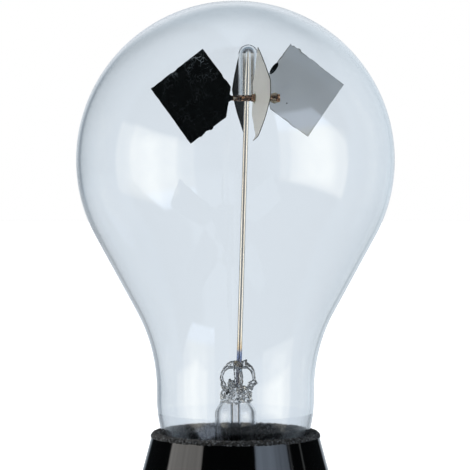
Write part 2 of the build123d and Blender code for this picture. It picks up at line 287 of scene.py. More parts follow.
def needle_steel():
    """Polished wire: warm steel, with a straw and a blue heat band just above the glass."""
    paint = Paint("needle_steel", metallic=1.0)
    height = paint.span(paint.axes()["Z"], bead_high.z - 1 * MM, bead_high.z + 9 * MM)
    heat = paint.ramp(
        height, (0.0, (0.06, 0.07, 0.11)), (0.15, (0.08, 0.14, 0.34)), (0.28, (0.22, 0.27, 0.42)),
        (0.38, (0.66, 0.52, 0.36)), (0.62, (0.76, 0.70, 0.62)), (1.0, (0.76, 0.74, 0.72)),
    )
    drawn = paint.noise(900.0, stretch=(1, 1, 0.02), detail=4.0)
    paint.colour(paint.mix(paint.span(drawn, 0.45, 0.75), heat, (0.52, 0.44, 0.36)))
    paint.rough(paint.span(drawn, 0.3, 0.7, 0.10, 0.24))
    return paint.material


def copper():
    """Dull, patchy copper strip."""
    paint = Paint("copper", metallic=1.0)
    patches = paint.noise(1400.0, detail=5.0)
    paint.colour(paint.ramp(
        patches, (0.40, (0.05, 0.025, 0.012)), (0.56, (0.34, 0.19, 0.11)), (0.72, (0.72, 0.52, 0.40)),
    ))
    paint.rough(paint.span(patches, 0.3, 0.7, 0.14, 0.34))
    paint.bump(paint.noise(2500.0), 0.03 * MM)
    return paint.material


def vane_metal(name, metallic, dark, light, rough):
    """Bright thin sheet with soft unevenness; its cut edges are duller and yellowish."""
    paint = Paint(name, metallic=metallic)
    cloud = paint.noise(90.0, detail=2.0)
    sheet = paint.ramp(cloud, (0.3, dark), (0.7, light))
    edge = paint.add("ShaderNodeAttribute", attribute_name="edge").outputs["Fac"]
    blotch = paint.span(paint.noise(260.0), 0.45, 0.65, 0.0, 0.8)
    stain = paint.times(paint.span(edge, 0.72, 0.95), blotch)
    paint.colour(paint.mix(stain, sheet, (0.36, 0.34, 0.24)))
    paint.rough(paint.span(paint.noise(200.0, detail=3.0), 0.3, 0.7, rough, rough + 0.06))
    paint.bump(paint.noise(110.0, detail=1.0), 0.012 * MM)
    return paint.material


def black_coat():
    """Black coat, with fine scratches that are dense near each vane's top corner."""
    paint = Paint("black_coat", specular_ior_level=0.03)
    grain = paint.noise(700.0, detail=5.0)
    base = paint.ramp(grain, (0.3, (0.0008, 0.0016, 0.0014)), (0.7, (0.003, 0.0045, 0.0045)))
    lines = []
    for turn, scale, stretch in ((0.6, 420.0, 0.05), (-0.8, 480.0, 0.06), (0.1, 420.0, 0.4)):
        mapping = paint.add("ShaderNodeMapping")
        mapping.inputs["Rotation"].default_value = (turn, turn, turn / 2)
        paint.link(paint.place, mapping.inputs["Vector"])
        streak = paint.noise(scale, stretch=(1, 1, stretch), distortion=0.25, place=mapping.outputs["Vector"])
        away = paint.math("ABSOLUTE", paint.minus(streak, 0.5))
        lines.append(paint.span(away, 0.003, 0.014, 1.0, 0.0))
    marks = paint.math("MAXIMUM", paint.math("MAXIMUM", lines[0], lines[1]), lines[2])
    top = paint.span(paint.axes()["Z"], HUB.z + 3 * MM, HUB.z + 10 * MM, 0.06, 1.0, smooth=True)
    patch = paint.span(paint.noise(330.0), 0.44, 0.60)
    scratched = paint.times(marks, paint.times(top, patch))
    x, y, _ = paint.axes()
    aside = paint.minus(x, AXIS.x)
    out = paint.math("SQRT", paint.math("MULTIPLY_ADD", aside, aside, paint.times(y, y)))
    worn = paint.span(out, 3.7 * MM, 3.9 * MM, 1.0, 0.0)
    coat = paint.mix(scratched, base, (0.24, 0.28, 0.31))
    paint.colour(paint.mix(worn, coat, (0.50, 0.47, 0.40)))
    paint.rough(paint.span(grain, 0.3, 0.7, 0.75, 0.9))
    paint.bump(paint.math("ADD", grain, scratched), 0.02 * MM)
    return paint.material


def glue():
    """Dried glue, pale and yellowish."""
    paint = Paint("glue", ior=1.45, subsurface_weight=0.2, subsurface_scale=0.5 * MM)
    cloud = paint.noise(1500.0, detail=4.0)
    paint.colour(paint.ramp(cloud, (0.3, (0.36, 0.30, 0.19)), (0.7, (0.66, 0.59, 0.45))))
    paint.rough(paint.span(cloud, 0.3, 0.7, 0.2, 0.45))
    return paint.material


def gloss_black():
    """Polished black moulding, with faint upright wipe marks and a little haze."""
    paint = Paint("gloss_black", ior=1.62, specular_ior_level=0.5)
    x, y, z = paint.axes()
    around = paint.math("ARCTAN2", x, y)
    wrap = paint.add("ShaderNodeCombineXYZ")
    paint.link(around, wrap.inputs["X"])
    paint.link(z, wrap.inputs["Y"])
    streaks = paint.noise(26.0, detail=6.0, stretch=(1, 1.5, 1), place=wrap.outputs["Vector"], roughness=0.7)
    cloud = paint.noise(90.0, detail=4.0)
    paint.colour(paint.ramp(cloud, (0.3, (0.0006, 0.0008, 0.0009)), (0.75, (0.0016, 0.0016, 0.0018))))
    paint.rough(paint.span(streaks, 0.35, 0.75, 0.03, 0.09))
    paint.bump(streaks, 0.006 * MM)
    return paint.material


def foam():
    """Black flocked foam: matt, with grey specks on its highest grains, a painted highlight on the grain
    tops.
    """
    paint = Paint("foam", roughness=0.95, sheen_weight=0.2, sheen_roughness=0.6)
    cells = paint.add("ShaderNodeTexVoronoi")
    cells.inputs["Scale"].default_value = 1 / FOAM_GRAIN
    paint.link(paint.place, cells.inputs["Vector"])
    grain = paint.minus(paint.noise(2600.0, detail=4.0, roughness=0.7), cells.outputs["Distance"])
    # painted highlight: the colour turns grey where the grains stand highest
    paint.colour(paint.ramp(
        paint.span(grain, -0.35, 0.45), (0.25, (0.002, 0.002, 0.002)), (0.55, (0.020, 0.023, 0.027)),
        (0.9, (0.17, 0.185, 0.205)),
    ))
    paint.bump(grain, 0.3 * MM)
    return paint.material


def mottled(name, dark, light, scale, rough_low, rough_high, relief, metallic=0.0):
    """A plain rough material with two tones and a fine relief."""
    paint = Paint(name, metallic=metallic)
    cloud = paint.noise(scale, detail=6.0, roughness=0.65)
    paint.colour(paint.ramp(cloud, (0.3, dark), (0.7, light)))
    paint.rough(paint.span(cloud, 0.3, 0.7, rough_low, rough_high))
    paint.bump(cloud, relief)
    return paint.material


BULB_GLASS = glass("bulb_glass", (0.985, 0.995, 1.0), (0.995, 1.0, 1.0), 0.06 * MM, 30 * MM)
HAZED_SHADED_GLASS = glass("hazed_shaded_glass", (0.93, 0.95, 0.97), (0.985, 0.995, 1.0), 0.06 * MM, 30 * MM, 0.06)
STEM_GLASS = glass("stem_glass", (0.972, 0.975, 0.98), (0.992, 0.992, 1.0), 0.05 * MM, 3 * MM)
CAP_GLASS = glass("cap_glass", (0.98, 0.99, 1.0), (0.99, 1.0, 1.0), 0.02 * MM, 3 * MM)
STEEL = needle_steel()
COPPER = copper()
VANE_METAL = vane_metal("vane_metal", 0.4, (0.78, 0.82, 0.86), (0.82, 0.86, 0.90), 0.10)
# the near vane's copy of the vane metal: more satin, and painted brighter and warmer to stand in for its lit
# tone
PAINTED_LIGHT_SATIN_METAL = vane_metal("painted_light_satin_metal", 0.05, (0.84, 0.83, 0.80), (0.90, 0.89, 0.86), 0.34)
BLACK_COAT = black_coat()
GLUE = glue()
FRIT = mottled("frit", (0.20, 0.15, 0.09), (0.62, 0.55, 0.42), 1500.0, 0.15, 0.4, 0.03 * MM)
GLOSS_BLACK = gloss_black()
FOAM = foam()
CEMENT = mottled("cement", (0.30, 0.28, 0.24), (0.52, 0.49, 0.43), 500.0, 0.8, 0.95, 0.15 * MM)
PLATE = mottled("plate_steel", (0.012, 0.012, 0.013), (0.03, 0.03, 0.032), 300.0, 0.4, 0.6, 0.03 * MM)
SCREW = mottled(
    "screw_steel", (0.38, 0.38, 0.39), (0.6, 0.6, 0.6), 1200.0, 0.25, 0.45, 0.01 * MM, metallic=1.0,
)
FELT = mottled("felt", (0.006, 0.006, 0.007), (0.035, 0.035, 0.04), 1600.0, 0.9, 1.0, 0.25 * MM)


# ---- bulb
TAPER = 28.5
NECK = 19.85 * MM
HOLLOW = 41.5 * MM
ROUNDING = 34.0 * MM
ROUND_TOP_Z = 40.2 * MM
NECK_END_Z = 24.0 * MM
WALL = 1.0 * MM
HAZE_AND_SHADE_TOP = 36.0 * MM  # below this the neck's glass is greyer and a little rough: painted shade in front of the foam, and a haze that keeps the soft box's reflection off it


def bulb_outline(inset, centre_z):
    """Globe, taper, hollow and closing round, all tangent. The CAD crown is a little thicker."""
    radius, neck = GLOBE - inset, NECK - inset
    hollow, rounding = HOLLOW + inset, ROUNDING - inset
    slope = radians(TAPER)
    globe = arc(0, centre_z, radius, 90, -TAPER, 72)
    globe[0] = (0, globe[0][1])
    run = (globe[-1][0] - neck - hollow * (1 - cos(slope))) / sin(slope)
    hollow_z = globe[-1][1] - run * cos(slope) - hollow * sin(slope)
    curve = arc(neck + hollow, hollow_z, hollow, 180 - TAPER, 180, 20)
    closing = degrees(asin((ROUND_TOP_Z - NECK_END_Z) / rounding))
    end = arc(neck - rounding, ROUND_TOP_Z, rounding, 0, -closing, 14)
    taper = [
        tuple(a + (b - a) * t / 8 for a, b in zip(globe[-1], curve[0])) for t in range(1, 8)
    ]
    return globe + taper + curve + end


def build_bulb():
    outer = bulb_outline(0, GLOBE_Z)
    inner = bulb_outline(WALL, GLOBE_Z)
    low = ((outer[-1][0] + inner[-1][0]) / 2, (outer[-1][1] + inner[-1][1]) / 2)
    lip = arc(*low, 0.9 * MM, 40, -220, 12)
    points, faces = lathe(outer + lip + inner[::-1], 192)
    bulb = piece("glass_bulb", points, faces, "stand", BULB_GLASS, ["bulb_envelope"])
    # the neck's foot gets the greyer, rough glass: painted shade in front of the foam
    bulb.data.materials.append(HAZED_SHADED_GLASS)
    for face in bulb.data.polygons:
        face.material_index = int(face.center.z < HAZE_AND_SHADE_TOP)


# ---- rotor
HUB_RADIUS = 2.45 * MM
BAND_WALL = 0.38 * MM
BOW_RADIUS = 70.0 * MM
SHEET = 0.12 * MM
COAT = 0.06 * MM
COAT_LAP = 0.07 * MM
INNER_CUT = 5.5 * MM
TAB_END_U = 3.1 * MM
TAB_END_HALF = 0.2 * MM
TAB_ROOT_HALF = 1.0 * MM
EDGE_STEP = 0.3 * MM
GRID_STEP = 1.1 * MM

# Each vane as in the CAD model: azimuth, centre's u and height, turn, upper outer side, lower
# outer side, leg of the outer corner's cut, and twist. Angles in degrees, lengths in millimetres.
VANES = (
    (11.5, 13.0, 2.0, 8.6, 17.2, 16.3, 0.0, -4.0),
    (98.9, 12.9, 0.7, 8.0, 16.8, 16.8, 0.0, -5.5),
    (191.5, 13.0, 0.4, 8.0, 16.5, 17.2, 0.0, -4.0),
    (283.6, 12.6, 0.9, 8.0, 16.4, 16.4, 3.2, -3.7),
)
# Nicks and burrs of the cut edges, per vane: side (0 upper outer, 1 upper inner, 2 inner cut
# above the tab, 3 below it, 4 lower inner, 5 lower outer), place along it from 0 to 1, how far
# out (+) or in (-), and half its length, in millimetres.
FLAWS = (
    (
        (0, 0.98, 0.28, 0.45), (0, 0.84, -0.3, 0.5), (0, 0.55, -0.12, 1.2), (1, 0.7, -0.18, 0.7),
        (4, 0.6, -0.15, 1.1),
    ),
    ((1, 0.4, -0.2, 0.8), (5, 0.5, -0.2, 1.5)),
    (
        (4, 0.42, -0.3, 0.5), (4, 0.56, 0.18, 0.5), (4, 0.7, -0.2, 0.4), (0, 0.45, 0.15, 0.8),
        (1, 0.75, 0.14, 0.6),
    ),
    ((4, 0.5, -0.12, 0.8),),
)
CURLED_VANE = 3
CURL_BELOW = -8.8 * MM
CURL = 260.0  # depth per squared height, 1/m


def on_rotor(number, u, depth, v):
    """From a vane's own frame (out, towards its black side, up) to the model's frame."""
    azimuth, twist = radians(VANES[number][0]), radians(VANES[number][-1])
    across, up = depth * cos(twist) - v * sin(twist), depth * sin(twist) + v * cos(twist)
    x = u * cos(azimuth) - across * sin(azimuth)
    y = u * sin(azimuth) + across * cos(azimuth)
    return HUB + Vector((x, y, up))


def bow(number, u, v):
    """Depth of a vane's middle surface: bowed about the arm, with shallow dents."""
    depth = sqrt(BOW_RADIUS**2 - v**2) - BOW_RADIUS
    dent = 0.10 * MM * blend_step(6 * MM, 11 * MM, u) * wobble(Vector((u, v, 0)), 7 * MM, number)
    curl = CURL * min(v - CURL_BELOW, 0) ** 2 if number == CURLED_VANE else 0
    return depth + dent - curl


def laid(number, place, depth=0.0):
    """A place of a vane's plane on its bowed middle surface, or off it by a depth."""
    return on_rotor(number, place.x, bow(number, place.x, place.y) + depth, place.y)


def vane_corners(number):
    """Corners in (u, v): from the outer corner over the top to the inner cut, and the bottom."""
    _, centre_u, centre_v, _, upper, lower, cut, _ = (value * MM for value in VANES[number])
    angle = radians(VANES[number][3] - 45)
    right, top = upper / 2, lower / 2
    square = [
        (right - cut, top), (-right, top), (-right, INNER_CUT - top), (INNER_CUT - right, -top),
        (right, -top),
    ]
    if cut:
        square.append((right, top - cut))
    return [
        Vector((centre_u + x * cos(angle) - y * sin(angle), centre_v + x * sin(angle) + y * cos(angle)))
        for x, y in square
    ]


def tab_side(root, sign):
    """The concave side of the tab, from the inner cut to the tab's end."""
    steps = 7
    sides = []
    for i in range(1, steps + 1):
        t = i / steps
        half = TAB_END_HALF + (abs(root.y) - TAB_END_HALF) * (1 - t) ** 2.4
        sides.append(Vector((root.x + (TAB_END_U - root.x) * t, sign * half)))
    return sides


def ragged_side(number, side, start, end):
    """Points of a cut edge from start up to, not including, end."""
    steps = max(int((end - start).length / EDGE_STEP), 2)
    out = Vector(((end - start).y, -(end - start).x)).normalized() * -1
    points = []
    for i in range(steps):
        t = i / steps
        point = start.lerp(end, t)
        held = min(t, 1 - t) * steps
        shift = 0.05 * MM * wobble(point.to_3d(), 1.3 * MM, number + 5 * side) * min(held, 1)
        for where, place, depth, half in FLAWS[number]:
            if where == side:
                away = abs(t - place) * (end - start).length / (half * MM)
                shift += depth * MM * (1 - blend_step(0.7, 1.15, away))
        points.append(point + out * shift)
    return points


def vane_outline(number):
    """The whole outline with its nicks and the tab, anticlockwise seen from the bright side."""
    outer, top, inner_up, inner_low, bottom, *cut = vane_corners(number)
    slope = (inner_low.x - inner_up.x) / (inner_low.y - inner_up.y)
    roots = [Vector((inner_up.x + slope * (v - inner_up.y), v)) for v in (TAB_ROOT_HALF, -TAB_ROOT_HALF)]
    points = ragged_side(number, 0, outer, top)
    points += ragged_side(number, 1, top, inner_up)
    points += ragged_side(number, 2, inner_up, roots[0]) + [roots[0]]
    points += tab_side(roots[0], 1) + tab_side(roots[1], -1)[::-1] + [roots[1]]
    points += ragged_side(number, 3, roots[1], inner_low)[1:]
    points += ragged_side(number, 4, inner_low, bottom)
    points += ragged_side(number, 5, bottom, cut[0] if cut else outer)
    return points + (ragged_side(number, 5, cut[0], outer) if cut else [])


def filled(outline):
    """A fine triangulation of an outline. The outline's points come first."""
    grid = []
    clear = 0.45 * MM
    low_u, high_u = min(p.x for p in outline), max(p.x for p in outline)
    low_v, high_v = min(p.y for p in outline), max(p.y for p in outline)
    count = len(outline)
    for i in range(int((high_u - low_u) / GRID_STEP) + 1):
        for j in range(int((high_v - low_v) / GRID_STEP) + 1):
            point = Vector((low_u + (i + 0.5 * (j % 2)) * GRID_STEP, low_v + j * GRID_STEP))
            if min((point - edge).length_squared for edge in outline) > clear**2:
                grid.append(point)
    scaled = [p / MM for p in outline + grid]
    made, _, faces, origins, _, _ = delaunay_2d_cdt(scaled, [], [list(range(count))], 1, 1e-6)
    used = sorted({corner for face in faces for corner in face})
    number = {old: new for new, old in enumerate(used)}
    kept = [(outline + grid)[origins[old][0]] for old in used]
    rim = {origins[old][0]: number[old] for old in used}
    return kept, [[number[corner] for corner in face] for face in faces], [rim[i] for i in range(count)]


def outwards(outline):
    """The unit direction out of the outline at each of its points."""
    count = len(outline)
    found = []
    for i in range(count):
        along = outline[(i + 1) % count] - outline[i - 1]
        found.append(Vector((along.y, -along.x)).normalized() * -1)
    return found


def build_vane(number):
    outline = vane_outline(number)
    anticlockwise = sum(a.cross(b) for a, b in zip(outline, outline[1:] + outline[:1])) > 0
    sign = -1 if anticlockwise else 1
    flat, tris, rim = filled(outline)
    spread = outwards(outline)
    count = len(flat)

    def layer(depth, grow=0.0):
        moved = [p.copy() for p in flat]
        for index, out in zip(rim, spread):
            moved[index] += out * grow * sign
        return [laid(number, p, depth) for p in moved]

    def ring(depth, grows):
        return [laid(number, p + out * grow * sign, depth) for p, out, grow in zip(outline, spread, grows)]

    def walls(first, second):
        size = len(first)
        return [[first[i], first[(i + 1) % size], second[(i + 1) % size], second[i]] for i in range(size)]

    bright, dark = layer(-SHEET / 2), layer(SHEET / 2)
    faces = [f for f in tris] + [[i + count for i in f[::-1]] for f in tris]
    faces += walls(rim, [i + count for i in rim])
    # the near vane takes the satin copy, painted brighter for its lit tone
    metal = PAINTED_LIGHT_SATIN_METAL if number == CURLED_VANE else VANE_METAL
    sheet = piece(
        f"vane_sheet_{number + 1}", bright + dark, faces, "rotor", metal,
        [f"vane_{number + 1}"],
        crease=40,
    )
    edge = sheet.data.attributes.new("edge", "FLOAT", "POINT")
    for index in rim:
        edge.data[index].value = edge.data[index + count].value = 1.0

    laps = [COAT_LAP * (0.7 + 0.9 * wobble(p.to_3d(), 1.1 * MM, 40 + number)) for p in outline]
    laps = [max(lap, 0.015 * MM) for lap in laps]
    snug = [0.004 * MM] * len(outline)
    top = layer(SHEET / 2 + COAT)
    for index, place in zip(rim, ring(SHEET / 2 + COAT, laps)):
        top[index] = place
    under = layer(SHEET / 2 + 0.002 * MM, 0.004 * MM)
    size = len(outline)
    low_out, low_in = ring(-SHEET / 2 + 0.01 * MM, laps), ring(-SHEET / 2 + 0.01 * MM, snug)
    first = 2 * count
    outer_ring, inner_ring = list(range(first, first + size)), list(range(first + size, first + 2 * size))
    faces = [f for f in tris] + [[i + count for i in f[::-1]] for f in tris]
    faces += walls(rim, outer_ring) + walls(outer_ring, inner_ring)
    faces += walls(inner_ring, [i + count for i in rim])
    points = top + under + low_out + low_in
    if number == 0:
        add_smudges(points, faces)
    piece(
        f"black_coat_{number + 1}", points, faces, "rotor", BLACK_COAT,
        [f"vane_coat_{number + 1}"],
        crease=40,
    )


def dome(skin, base, rings, sides):
    """A closed drop. Its skin is a place for each (share of the way to the rim, angle)."""
    points = [skin(0, 0)]
    for ring in range(1, rings + 1):
        points += [skin(ring / rings, tau * s / sides) for s in range(sides)]
    points.append(base)
    faces = []
    rim = 1 + (rings - 1) * sides
    for s in range(sides):
        t = (s + 1) % sides
        faces.append([0, 1 + s, 1 + t])
        for a in range(1, rim, sides):
            faces.append([a + s, a + sides + s, a + sides + t, a + t])
        faces.append([rim + t, rim + s, len(points) - 1])
    return points, faces


def add_smudges(points, faces):
    """Adds the first vane's specks of black on its bright side: a lens at its edge and a dot."""
    _, top, inner_up, *_ = vane_corners(0)
    along = (top - inner_up).normalized()
    inward = Vector((along.y, -along.x))
    middle = inner_up + along * 3.3 * MM + inward * 0.25 * MM
    dot = Vector((9.9, -1.3)) * MM
    for centre, length, width in ((middle, 1.75 * MM, 0.62 * MM), (dot, 0.2 * MM, 0.17 * MM)):

        def skin(share, angle):
            spot = centre + (along * length * cos(angle) + inward * width * sin(angle)) * share
            return laid(0, spot, -SHEET / 2 - 0.05 * MM * (1 - share**2))

        joined(points, faces, dome(skin, laid(0, centre, -0.02 * MM), 4, 28))


ARM_START_U = HUB_RADIUS + 0.2 * MM
ARM_END_U = 7.6 * MM
STRIP = 0.16 * MM
STRIP_HEIGHT = 1.3 * MM
ROLL_RADIUS = 0.5 * MM
ROLL_HEIGHT = 1.9 * MM
ROLL_TURNS = 1.75


def build_arm(number):
    """A copper strip on the bright side, its end rolled up into a small coil."""
    face = -SHEET / 2 - STRIP / 2
    stations = []
    straight = 16
    for i in range(straight):
        t = i / straight
        u = ARM_START_U + (ARM_END_U - ARM_START_U) * t
        sag = 0.10 * MM * sin(pi * min(t * 2.2, 1))
        stations.append((Vector((u, face - sag)), Vector((0, 1)), STRIP_HEIGHT * (0.92 + 0.12 * t)))
    turns = 44
    for i in range(turns + 1):
        angle = tau * ROLL_TURNS * i / turns
        radius = (ROLL_RADIUS - STRIP / 2) * (1 - 0.42 * i / turns)
        centre = Vector((ARM_END_U, face - ROLL_RADIUS + STRIP / 2))
        out = Vector((sin(angle), cos(angle)))
        height = STRIP_HEIGHT + (ROLL_HEIGHT - STRIP_HEIGHT) * blend_step(0, 0.12, i / turns)
        stations.append((centre + out * radius, out, height))
    section = [
        (-0.5, -0.42), (-0.5, 0.42), (-0.3, 0.5), (0.3, 0.5), (0.5, 0.42), (0.5, -0.42), (0.3, -0.5),
        (-0.3, -0.5),
    ]
    points = []
    for index, (middle, normal, height) in enumerate(stations):
        uneven = 0.07 * MM * wobble(Vector((index * 0.3, number, 0)), 1.0, 3)
        for across, up in section:
            spot = middle + normal * across * STRIP
            v = up * height + uneven + 0.05 * MM * wobble(Vector((index * 0.5, up * 4, number)), 1.0)
            points.append(on_rotor(number, spot.x, spot.y + bow(number, spot.x, v), v))
    faces = strip_faces(len(stations), len(section))
    piece(
        f"arm_strip_{number + 1}", points, faces, "rotor", COPPER, [f"vane_arm_{number + 1}"],
        crease=50,
    )


def build_glue():
    """Thin, uneven drops of glue round each arm's outer part, one mesh for all four."""
    points, faces = [], []
    for number in range(len(VANES)):
        centre = Vector((6.75 * MM, 0))

        def skin(share, angle):
            direction = Vector((cos(angle), sin(angle)))
            reach = 1 + 0.22 * wobble(Vector((direction.x, direction.y, number)), 0.6, 9)
            spot = centre + Vector((1.45 * direction.x, 1.3 * direction.y)) * MM * reach * share
            lift = 0.15 * MM * (1 - share**2) ** 0.5 * (1 + 0.3 * wobble(spot.to_3d(), 0.7 * MM, number))
            return laid(number, spot, -SHEET / 2 - 0.002 * MM - lift)

        joined(points, faces, dome(skin, laid(number, centre, -0.02 * MM), 10, 44))
    piece("glue_drops", points, faces, "rotor", GLUE, ["glue_spots"])


def build_hub_band():
    """The metal band round the cap: a strip with both edges rolled outwards."""
    half = (hub_high.z - hub_low.z) / 2
    inner, outer = HUB_RADIUS + 0.01 * MM, HUB_RADIUS + BAND_WALL
    waist = HUB_RADIUS + 0.45 * BAND_WALL
    roll = 0.17 * MM
    profile = [(inner, -half)]
    profile += arc(outer - roll, -half + roll, roll, -90, 90, 8)
    profile += [(waist, -0.25 * half), (waist, 0.2 * half)]
    profile += arc(outer - roll, half - roll, roll, -90, 90, 8)
    profile += [(inner, half)]
    points, faces = lathe(profile, 120, closed=True)
    for point in points:
        angle = atan2(point.y, point.x)
        point.z *= 1 + 0.08 * wobble(Vector((cos(angle), sin(angle), 0)), 0.35, 2)
        point += Vector((cos(angle), sin(angle), 0)) * 0.03 * MM * wobble(point, 0.5 * MM, 4)
        point += HUB
    piece("hub_band", points, faces, "rotor", COPPER, ["hub_collar"])


CAP_BORE = 1.5 * MM
CAP_INNER_TOP = 0.05 * MM  # over the needle's point


def build_cap():
    """The glass cup: domed, with a rounded lip."""
    outer_z = cap_high.z - HUB_RADIUS
    inner_z = AXIS.z + CAP_INNER_TOP - CAP_BORE
    lip = (HUB_RADIUS - CAP_BORE) / 2
    profile = arc(0, outer_z, HUB_RADIUS, 90, 0, 28)
    profile += arc((HUB_RADIUS + CAP_BORE) / 2, cap_low.z + lip, lip, 0, -180, 14)
    profile += arc(0, inner_z, CAP_BORE, 0, 90, 22)
    profile[0] = (0, profile[0][1])
    profile[-1] = (0, profile[-1][1])
    points, faces = lathe(profile, 96)
    for point in points:
        point += Vector((AXIS.x, AXIS.y, 0))
    piece("rotor_cup", points, faces, "rotor", CAP_GLASS, ["rotor_cap"])


# ---- needle
NEEDLE_LEAN = 1.65
NEEDLE_RADIUS = 0.66 * MM
NEEDLE_LENGTH = 86.0 * MM
NEEDLE_TAPER = 8.0 * MM
NEEDLE_POINT = 0.04 * MM


def build_needle():
    profile = [(0, 0), (NEEDLE_POINT, -0.01 * MM)]
    for i in range(1, 25):
        t = i / 24
        swell = (NEEDLE_RADIUS - NEEDLE_POINT) * sin(pi / 2 * t) ** 0.9
        profile.append((NEEDLE_POINT + swell, -NEEDLE_TAPER * t))
    body = 60
    for i in range(1, body + 1):
        depth = NEEDLE_TAPER + (NEEDLE_LENGTH - NEEDLE_TAPER) * i / body
        profile.append((NEEDLE_RADIUS * (1 + 0.012 * wobble(Vector((0, 0, depth)), 5 * MM)), -depth))
    profile.append((0, -NEEDLE_LENGTH))
    points, faces = lathe(profile, 48)
    turn = Matrix.Rotation(radians(NEEDLE_LEAN), 4, "Y")
    points = [AXIS + turn @ p for p in points]
    piece("needle_pin", points, faces, "stand", STEEL, ["needle"])


# ---- glass stem and claw
STEM_RADIUS = 5.2 * MM  # the CAD solid has 5.1
STEM_WALL = 0.35 * MM  # thinner than the CAD solid's 1.0, as the tube's edges look
FLARE_RADIUS = 6.0 * MM
STEM_TOP_RADIUS = 3.9 * MM
EXHAUST_RADIUS = 1.3 * MM
EXHAUST_BORE = 1.05 * MM  # the CAD solid has 0.75


def soften(profile, rounds=3):
    """Cuts the corners of a profile again and again, and keeps its ends."""
    for _ in range(rounds):
        cut = [profile[0]]
        for a, b in zip(profile, profile[1:]):
            cut.append((0.75 * a[0] + 0.25 * b[0], 0.75 * a[1] + 0.25 * b[1]))
            cut.append((0.25 * a[0] + 0.75 * b[0], 0.25 * a[1] + 0.75 * b[1]))
        profile = cut + [profile[-1]]
    return profile


def build_stem():
    """The flared tube, with a soft shoulder, and the pumping tube inside it."""
    top = flare_high.z
    shoulder = top - 2.5 * MM
    middle = STEM_RADIUS - STEM_WALL / 2
    curve_r, curve_z = middle + FLARE_RADIUS, flare_low.z + STEM_WALL / 2 + FLARE_RADIUS
    rim = flare_high.x
    outside = arc(curve_r, curve_z, FLARE_RADIUS - STEM_WALL / 2, 270, 180, 18)
    outside += soften([
        (STEM_RADIUS, shoulder - 1 * MM), (STEM_RADIUS, shoulder), (STEM_TOP_RADIUS, top - 0.3 * MM),
        (STEM_TOP_RADIUS, top),
    ])
    inside = soften([
        (STEM_TOP_RADIUS - STEM_WALL, top), (STEM_TOP_RADIUS - STEM_WALL, top - 0.3 * MM),
        (STEM_RADIUS - STEM_WALL, shoulder), (STEM_RADIUS - STEM_WALL, shoulder - 1 * MM),
    ])
    inside += arc(curve_r, curve_z, FLARE_RADIUS + STEM_WALL / 2, 180, 270, 18)
    edge = arc(rim - STEM_WALL / 2, flare_low.z + STEM_WALL / 2, STEM_WALL / 2, -90, 90, 8)
    points, faces = lathe(outside + inside + edge, 128, closed=True)
    piece("stem_tube", points, faces, "stand", STEM_GLASS, ["stem_flare"])
    tip = exhaust_tip_z
    outside = soften([
        (0, tip), (0.6 * MM, tip), (0.8 * MM, tip + 2 * MM), (EXHAUST_RADIUS, tip + 5 * MM),
        (EXHAUST_RADIUS, top),
    ])
    inside = soften([
        (EXHAUST_BORE, top), (EXHAUST_BORE, tip + 5.5 * MM), (0.3 * MM, tip + 2.6 * MM), (0, tip + 2.2 * MM),
    ])
    points, faces = lathe(outside + inside, 64)
    piece("pumping_tube", points, faces, "stand", STEM_GLASS, ["exhaust_tube"])


CLAW_X = 0.7 * MM
CLAW_AZIMUTH = 10.0
CLAW_ARC = 3.3 * MM
CLAW_CENTRE_U = 0.8 * MM
CLAW_CENTRE_Z = 45.4 * MM
CLAW_VOXEL = 0.13 * MM
FRIT_VOXEL = 0.07 * MM
PRESS_GAP = 0.03 * MM


def claw_rod(number, rng):
    """A half-melted rod, up and over from the press to the bead: flat, twisted and uneven."""
    azimuth = radians(CLAW_AZIMUTH + 90 * number)
    path, radii = [], []
    steps = 26
    for i in range(steps + 1):
        angle = radians(-66 + 160 * i / steps)
        sway = 0.35 * MM * wobble(Vector((i * 0.16, number, 0)), 1.0, 6)
        u = CLAW_CENTRE_U + (CLAW_ARC + sway) * cos(angle if angle > 0 else 0.72 * angle)
        z = CLAW_CENTRE_Z + CLAW_ARC * sin(angle)
        side = 0.30 * MM * wobble(Vector((i * 0.2, number, 5)), 1.0, 8)
        place = Vector((u * cos(azimuth) - side * sin(azimuth), u * sin(azimuth) + side * cos(azimuth), z))
        path.append(place + Vector((CLAW_X, 0, 0)))
        thick = 0.5 + 0.48 * blend_step(0.55, 0.95, i / steps) + 0.3 * (1 - blend_step(0.0, 0.3, i / steps))
        radii.append(thick * MM * (1 + 0.12 * rng.uniform(-1, 1)))
    return tube(path, radii, 14)


def blob(centre, size):
    """A coarse ball for the remesh to melt into its neighbours."""
    points, faces = lathe(arc(0, 0, 1, 90, -90, 8), 12)
    points[0].x = points[0].y = 0
    return [centre + Vector((p.x * size.x, p.y * size.y, p.z * size.z)) for p in points], faces


def melted(name, parts, voxel):
    """One closed skin round all the parts, from a voxel remesh: (place, normal) pairs and faces."""
    points, faces = [], []
    for part in parts:
        joined(points, faces, part)
    mesh = bpy.data.meshes.new(name)
    mesh.from_pydata([tuple(p) for p in points], [], faces)
    rough = bpy.data.objects.new(name, mesh)
    bpy.context.scene.collection.objects.link(rough)
    outward(rough)
    remesh = rough.modifiers.new("melt", "REMESH")
    remesh.mode = "VOXEL"
    remesh.voxel_size = voxel
    smooth = rough.modifiers.new("relax", "SMOOTH")
    smooth.factor = 0.5
    smooth.iterations = 3
    done = bpy.data.meshes.new_from_object(rough.evaluated_get(bpy.context.evaluated_depsgraph_get()))
    bpy.data.objects.remove(rough)
    skin = [(v.co.copy(), v.normal.copy()) for v in done.vertices]
    return skin, [list(face.vertices) for face in done.polygons]


